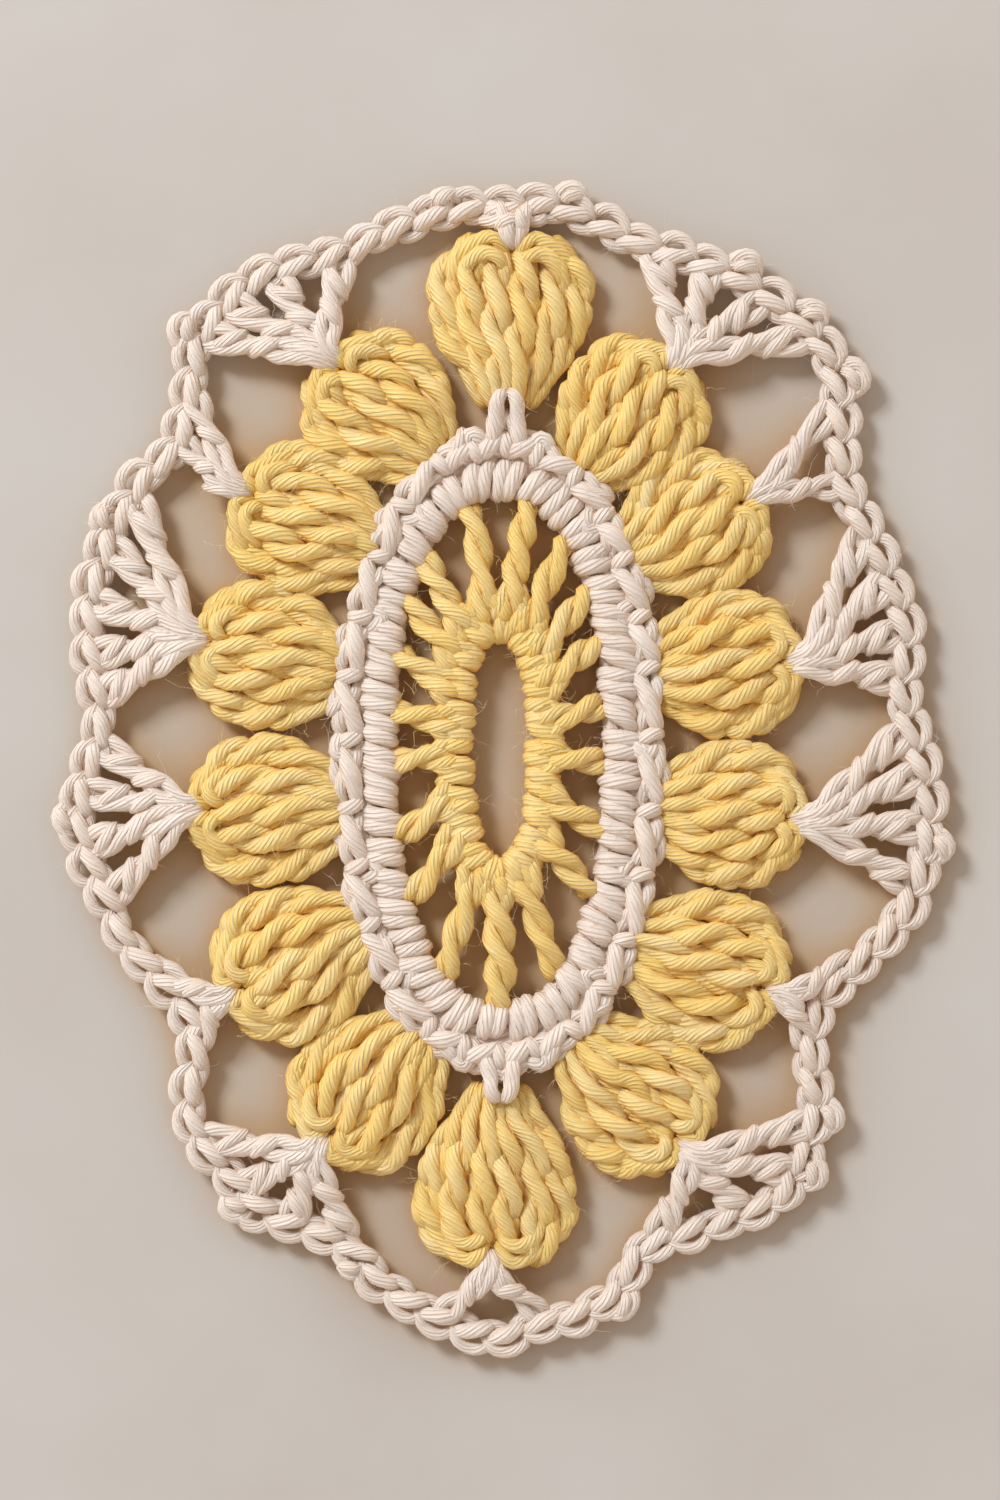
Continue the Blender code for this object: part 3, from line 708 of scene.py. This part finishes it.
def inner_round():
    cloth = Cloth("yarn_inner_round", CREAM, sides=14, ply_turn=0.55)
    first = oval_line("inner_edge", 1.85)
    # the cords that the stitches are worked over, low between the rows
    for grow, height in ((1.0, 1.2), (2.6, 1.3), (3.9, 1.35), (5.1, 1.15)):
        core = oval_line("inner_edge", grow, count=72)
        cloth.strand(np.column_stack([np.vstack([core, core[:1]]), np.full(len(core) + 1, height)]), r=0.95)
    arches(cloth, first, 84, -1.90, 2.05, 2.60, 0.86, 0.62)
    # row two: a knot at each petal's base and one between petals, joined by
    # pairs of crossing leaves
    feet = [petal_end(row, -1, 0.35) for row in PETALS]
    base = oval_line("inner_edge", 4.55)
    knots = []
    for i, foot in enumerate(feet):
        nxt = feet[(i + 1) % len(feet)]
        for spot, pull in ((foot, 0.18 if PETALS[i][7] == "drop" else 0.40), ((foot + nxt) / 2, 0.10)):
            near = base[int(np.argmin(np.linalg.norm(base - spot, axis=1)))]
            knots.append((near + (spot - near) * pull, spot))
    row2 = smooth([k[0] for k in knots], 0.4, closed=True)
    total, n, fr = along(row2[:-1], 1.0)
    closed = np.vstack([row2[:-1], row2[:1]])
    ss = arc(closed)
    marks = [ss[int(np.argmin(np.linalg.norm(closed[:-1] - k[0], axis=1)))] for k in knots]
    marks = sorted(marks)
    z = 1.9
    for i, d0 in enumerate(marks):
        d1 = marks[(i + 1) % len(marks)] + (total if i == len(marks) - 1 else 0)
        parts = max(1, int(round((d1 - d0) / 5.4)))
        for m in range(parts):
            a = d0 + (d1 - d0) * m / parts
            g = (d1 - d0) / parts
            k = rng.normal(0, 0.08, 8)
            cloth.strand([local(fr, a - 0.12 * g, -0.75, z - 0.8), local(fr, a + 0.12 * g, -0.55 + k[0], z + 0.3),
                          local(fr, a + 0.48 * g, 0.10 + k[1], z + 1.0), local(fr, a + 0.84 * g, 0.85 + k[2], z + 0.5),
                          local(fr, a + 1.06 * g, 1.05, z - 0.7)], r=(0.45, 0.80, 0.92, 0.82, 0.45))
            cloth.strand([local(fr, a - 0.02 * g, 0.55, z - 0.5), local(fr, a + 0.20 * g, 1.20 + k[3], z + 0.25),
                          local(fr, a + 0.46 * g, 0.80 + k[4], z + 0.45), local(fr, a + 0.78 * g, -0.45, z + 0.25),
                          local(fr, a + 1.02 * g, -0.85, z - 0.5)], r=(0.45, 0.74, 0.82, 0.72, 0.45))
            cloth.strand([local(fr, a + 0.02 * g, 1.35, z - 0.4), local(fr, a - 0.02 * g, 0.75 + k[5], z + 0.75),
                          local(fr, a + 0.03 * g, -0.15 + k[6], z + 0.95), local(fr, a + 0.10 * g, -1.0, z + 0.1)],
                         r=(0.45, 0.74, 0.76, 0.45))
            if rng.random() < 0.6:
                cloth.strand([local(fr, a + 0.30 * g, 0.9, z - 0.3), local(fr, a + 0.40 * g, 1.45 + k[7], z + 0.1),
                              local(fr, a + 0.66 * g, 1.75, z), local(fr, a + 0.86 * g, 1.2, z - 0.3)],
                             r=(0.45, 0.66, 0.68, 0.45))
    # short loops that rise to the petals' bases and between the petals
    for i, row in enumerate(PETALS):
        mid, u, v = petal_axes(row)
        foot = feet[i]
        nxt = feet[(i + 1) % len(feet)]
        root = knots[2 * i][0]
        if row[7] == "drop":
            for side in (-1, 1):
                cloth.strand([(*(root + v * side * 1.6 - u * 0.5), 1.4), (*(root + v * side * 1.35 + u * 0.7), 2.9),
                              (*(foot + v * side * 1.05 + u * 0.2), 3.3), (*(foot + v * side * 0.95 + u * 1.4), 3.7),
                              (*(foot + v * side * 0.50 + u * 2.1), 3.3), (*(foot + v * side * 0.25 + u * 1.6), 2.4)],
                             r=(0.5, 0.78, 0.82, 0.80, 0.70, 0.45))
                cloth.strand([(*(root + v * side * 0.2 + u * 0.2), 1.6), (*(root + v * side * 0.9 + u * 1.1), 2.4),
                              (*(foot + v * side * 0.2 - u * 0.2), 2.7), (*(foot - v * side * 0.5 + u * 0.5), 2.2)],
                             r=(0.45, 0.66, 0.66, 0.45))
            cloth.strand([(*(root - v * 1.2), 1.4), (*(root - v * 0.4 + u * 0.7), 2.2),
                          (*(root + v * 0.5 + u * 0.7), 2.3), (*(root + v * 1.3), 1.5)], r=0.6)
        else:
            for side in (-1, 1):
                spread = 0.25 * row[4]
                cloth.strand([(*(root + v * side * spread * 0.35), 1.4), (*(foot + v * side * spread * 0.55 - u * 0.35), 2.7),
                              (*(foot + v * side * spread * 0.95 + u * 0.35), 2.6), (*(foot + v * side * spread * 1.15 + u * 0.9), 1.5)],
                             r=(0.45, 0.66, 0.68, 0.42))
        spot = (foot + nxt) / 2
        back = knots[2 * i + 1][0]
        w = unit(spot - back)
        t = np.array([-w[1], w[0]])
        cloth.strand([(*(back - t * 1.1 + w * 0.1), 1.6), (*(back - t * 0.8 + w * 1.3), 2.5),
                      (*(back + t * 0.1 + w * 2.0), 2.55), (*(back + t * 0.8 + w * 1.2), 2.4),
                      (*(back + t * 1.1 + w * 0.1), 1.5)], r=(0.5, 0.74, 0.80, 0.74, 0.5))
    cloth.fuzz(380)
    cloth.fuzz(2200, 0.45, 4)
    return cloth


# -------------------------------------------------------------------- centre
def edge_crossing(start, end, name, grow):
    """The point of the way from start to end that lies on an oval."""
    x, y, hx, hy = OVALS[name]
    lo, hi = 0.0, 2.0
    for _ in range(40):
        mid = (lo + hi) / 2
        p = start + (end - start) * mid
        inside = (abs(p[0] - x) / (hx + grow)) ** OVAL_POWER \
            + (abs(p[1] - y) / (hy + grow)) ** OVAL_POWER < 1
        lo, hi = (mid, hi) if inside else (lo, mid)
    return start + (end - start) * lo


def centre():
    cloth = Cloth("yarn_centre", YELLOW)
    ring = oval_line("eye", 1.80, 2.10)
    arches(cloth, ring, 40, -1.75, 1.80, 2.75, 0.90, 0.35)
    roots = []
    for x, y, wide in SPOKES:
        end = np.array([x, y])
        root = np.array([OVALS["ring"][0] + 0.30 * x, 1.4 + 0.50 * (y - 1.4)])
        w = unit(end - root)
        a = edge_crossing(root, end, "ring", -0.6) + SHIFT
        b = edge_crossing(root, end, "inner_edge", 0.55) + SHIFT
        side = np.array([-w[1], w[0]])
        length = np.linalg.norm(b - a)
        bend = side * rng.normal(0, 0.15)
        pts = [(*(a - w * 1.5), 2.5), (*(a + w * 0.05 * length), 2.95),
               (*(a + w * 0.45 * length + bend), 2.5), (*(a + w * 0.8 * length + bend), 2.1),
               (*b, 1.4)]
        rr = 0.80 * wide ** 0.5
        two_ply(cloth, pts, rho=(0.58, 0.66 * wide, 0.70 * wide, 0.62), r=(0.66, rr, rr, rr * 0.95),
                turn=0.74 + rng.normal(0, 0.07), phase=rng.uniform(0.6, 1.9), quiet=(0.8, 0.0), flat=0.85)
        # the stitch that the spoke grows from spreads over the ring's edge
        reach = 1.0 + 1.9 * w[1] ** 2
        for sgn in (-1, 1):
            cloth.strand([(*(a + w * reach + side * sgn * 0.30), 2.0), (*(a + w * reach * 0.55 + side * sgn * 0.80), 2.7),
                          (*(a + side * sgn * 1.20 - w * 0.2), 2.85), (*(a + side * sgn * 1.45 - w * 1.2), 2.5),
                          (*(a + side * sgn * 1.5 - w * 1.9), 1.7)],
                         r=(0.5, 0.74, 0.82, 0.78, 0.45))
        roots.append((a, w, reach))
    # low filling between neighbours, where the openings end
    for (a, w, reach), (a2, w2, reach2) in zip(roots, roots[1:] + roots[:1]):
        m, way = (a + a2) / 2, unit(w + w2)
        far = 0.30 * (reach + reach2) - 0.5
        cloth.strand([(*(m - way * 1.6), 1.7), (*(m - way * 0.4), 2.2), (*(m + way * far * 0.6), 1.9),
                      (*(m + way * far), 1.3)], r=(0.6, 0.85, 0.85, 0.55))
    cloth.fuzz(340)
    cloth.fuzz(1500, 0.45, 4)
    return cloth


# -------------------------------------------------------------------- pieces
jobs = [(row[0], petal, (row,), "yellow_yarn") for row in PETALS]
jobs += [("border", border, (), "cream_yarn"), ("inner_round", inner_round, (), "cream_yarn"),
         ("centre", centre, (), "yellow_yarn")]
total_triangles = 0
total_length = 0.0
for node, make, args, slot in jobs:
    cloth = make(*args)
    ob = cloth.build()
    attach(ob, "root")
    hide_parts(node)
    total_triangles += cloth.triangles
    total_length += cloth.length
    if cloth.triangles > 60000:
        print("TRIANGLES", node, cloth.triangles)
print("TRIANGLES all", total_triangles, "YARN m", round(total_length / 1000, 2))

# ------------------------------------------------------------------- stage
bpy.ops.mesh.primitive_plane_add(size=2.4, location=(0, 0, -0.0001))
floor = bpy.context.object
floor.name = "floor"
fm = bpy.data.materials.new("floor_paper")
fm.use_nodes = True
nt = fm.node_tree
fb = nt.nodes["Principled BSDF"]
fb.inputs["Roughness"].default_value = 0.9
fb.inputs["Specular IOR Level"].default_value = 0.2
tc = nt.nodes.new("ShaderNodeTexCoord")
no = nt.nodes.new("ShaderNodeTexNoise")
no.inputs["Scale"].default_value = 26.0
no.inputs["Detail"].default_value = 5.0
nt.links.new(tc.outputs["Object"], no.inputs["Vector"])
mx = nt.nodes.new("ShaderNodeMix")
mx.data_type = "RGBA"
mx.inputs[6].default_value = (0.600, 0.545, 0.500, 1)
mx.inputs[7].default_value = (0.645, 0.605, 0.560, 1)
mottle = nt.nodes.new("ShaderNodeMapRange")
mottle.inputs["From Min"].default_value = 0.34
mottle.inputs["From Max"].default_value = 0.66
nt.links.new(no.outputs[0], mottle.inputs["Value"])
nt.links.new(mottle.outputs["Result"], mx.inputs[0])
near = nt.nodes.new("ShaderNodeAmbientOcclusion")   # painted shade: the floor's colour turns warm brown where the yarn closes it in
near.samples = 4
near.inputs["Distance"].default_value = 0.012
shut = nt.nodes.new("ShaderNodeMath")
shut.operation = "MULTIPLY_ADD"
shut.use_clamp = True
nt.links.new(near.outputs["AO"], shut.inputs[0])
shut.inputs[1].default_value = -2.0
shut.inputs[2].default_value = 2.0
oval = nt.nodes.new("ShaderNodeVectorMath")        # 1 on the doily's outline
oval.operation = "MULTIPLY"
nt.links.new(tc.outputs["Object"], oval.inputs[0])
_size = [b - a for a, b in zip(_low, _high)]
oval.inputs[1].default_value = (2.0 / _size[0], 2.0 / _size[1], 0.0)
reachn = nt.nodes.new("ShaderNodeVectorMath")
reachn.operation = "LENGTH"
nt.links.new(oval.outputs[0], reachn.inputs[0])
# the painted shade is full inside the doily's outline and falls to the painted-shadow amount outside it
within = nt.nodes.new("ShaderNodeMapRange")
nt.links.new(reachn.outputs["Value"], within.inputs["Value"])
within.inputs["From Min"].default_value = 0.84
within.inputs["From Max"].default_value = 0.98
within.inputs["To Min"].default_value = 1.0
side = nt.nodes.new("ShaderNodeVectorMath")        # painted shadow: more painted shade on the side away from the lamp
side.operation = "DOT_PRODUCT"
nt.links.new(tc.outputs["Object"], side.inputs[0])
side.inputs[1].default_value = (0.7, -0.7, 0.0)
away = nt.nodes.new("ShaderNodeMapRange")
away.inputs["From Min"].default_value = -0.01
away.inputs["From Max"].default_value = 0.03
away.inputs["To Min"].default_value = 0.22
away.inputs["To Max"].default_value = 0.62
nt.links.new(side.outputs["Value"], away.inputs["Value"])
nt.links.new(away.outputs["Result"], within.inputs["To Max"])
painted_shade_amount = nt.nodes.new("ShaderNodeMath")
painted_shade_amount.operation = "MULTIPLY"
nt.links.new(shut.outputs[0], painted_shade_amount.inputs[0])
nt.links.new(within.outputs["Result"], painted_shade_amount.inputs[1])
# painted shade: the floor colour is multiplied by warm brown (0.92, 0.68, 0.42) by the painted-shade amount
floor_painted_shade = nt.nodes.new("ShaderNodeMix")
floor_painted_shade.data_type = "RGBA"
floor_painted_shade.blend_type = "MULTIPLY"
nt.links.new(painted_shade_amount.outputs[0], floor_painted_shade.inputs[0])
nt.links.new(mx.outputs[2], floor_painted_shade.inputs[6])
floor_painted_shade.inputs[7].default_value = (0.92, 0.68, 0.42, 1)
nt.links.new(floor_painted_shade.outputs[2], fb.inputs["Base Color"])
floor.data.materials.append(fm)

cam_data = bpy.data.cameras.new("camera")
cam_data.lens = 100
cam_data.sensor_width = 36
cam_data.sensor_fit = "AUTO"
cam = bpy.data.objects.new("camera", cam_data)
bpy.context.scene.collection.objects.link(cam)
cam.location = (SHIFT[0] / 1000, (1.162 + SHIFT[1]) / 1000, 0.4233)
cam.rotation_euler = (0, 0, 0)
bpy.context.scene.camera = cam


def area_light(name, where, size, power, colour):
    data = bpy.data.lights.new(name, "AREA")
    data.shape = "SQUARE"
    data.size = size
    data.energy = power
    data.color = colour
    ob = bpy.data.objects.new(name, data)
    bpy.context.scene.collection.objects.link(ob)
    ob.location = where
    ob.rotation_euler = Vector([-c for c in where]).to_track_quat("-Z", "Y").to_euler()
    return ob


area_light("key", (-0.66, 0.70, 0.78), 0.34, 12.1, (0.84, 0.92, 1.0))
world = bpy.data.worlds.new("studio")
world.use_nodes = True
bg = world.node_tree.nodes["Background"]
wt = world.node_tree
direction = wt.nodes.new("ShaderNodeTexCoord")
split = wt.nodes.new("ShaderNodeSeparateXYZ")
wt.links.new(direction.outputs["Generated"], split.inputs[0])
rise = wt.nodes.new("ShaderNodeMath")           # 0 overhead, 1 at the horizon
rise.operation = "SUBTRACT"
rise.use_clamp = True
rise.inputs[0].default_value = 1.0
wt.links.new(split.outputs[2], rise.inputs[1])
square = wt.nodes.new("ShaderNodeMath")
square.operation = "POWER"
wt.links.new(rise.outputs[0], square.inputs[0])
square.inputs[1].default_value = 2.0
glow = wt.nodes.new("ShaderNodeMath")
glow.operation = "MULTIPLY_ADD"
wt.links.new(square.outputs[0], glow.inputs[0])
glow.inputs[1].default_value = 1.45
glow.inputs[2].default_value = 0.33
bg.inputs[0].default_value = (1.0, 0.90, 0.81, 1)
wt.links.new(glow.outputs[0], bg.inputs[1])
bpy.context.scene.world = world
bpy.context.scene.view_settings.view_transform = "Standard"
bpy.context.scene.view_settings.look = "None"
